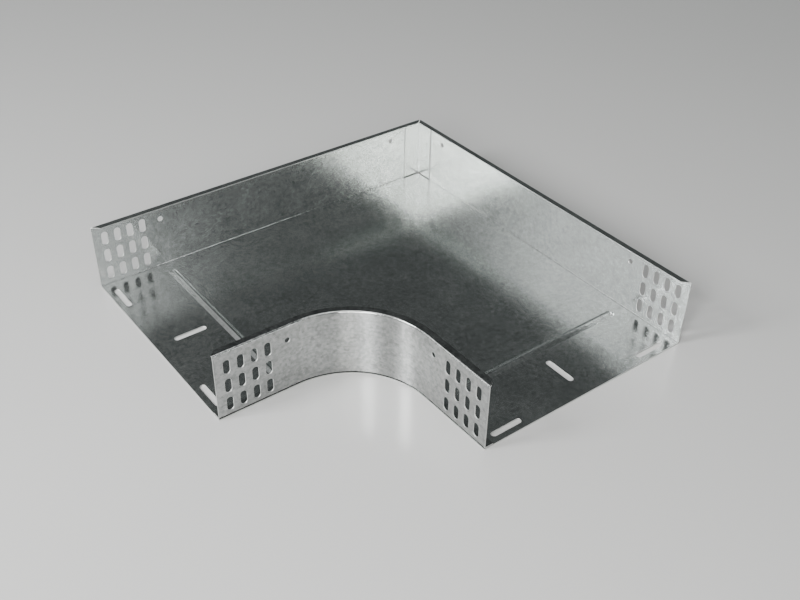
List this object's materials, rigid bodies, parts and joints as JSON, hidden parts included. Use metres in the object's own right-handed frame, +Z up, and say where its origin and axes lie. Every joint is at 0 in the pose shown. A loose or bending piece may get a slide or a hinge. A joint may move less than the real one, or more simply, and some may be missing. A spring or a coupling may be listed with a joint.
{
  "type": "cable tray bend",
  "caption": "Horizontal right-angle bend for a perforated sheet-metal cable tray, open at the top, with a rolled inner side wall and slotted coupling ends.",
  "frame": {"origin": "middle of the square outline of the underside, on the plane that the floor rests on", "axes": "+Z up out of the open channel; leg A opens toward -X and leg B toward -Y, so the outer corner is at +X, +Y; the two legs mirror each other about the plane X = Y"},
  "size_m": [0.5024, 0.5024, 0.0875],
  "materials": {
    "tray_zinc": "bare zinc coating, glossy, faintly mottled",
    "inner_wall_zinc": "bare zinc coating, glossy, faintly mottled",
    "corner_angle_zinc": "bare zinc coating, glossy, faintly mottled"
  },
  "bodies": {
    "root": {"tray_body": "tray_zinc", "inner_side_wall": "inner_wall_zinc", "corner_angle": "corner_angle_zinc"}
  },
  "joints": []
}
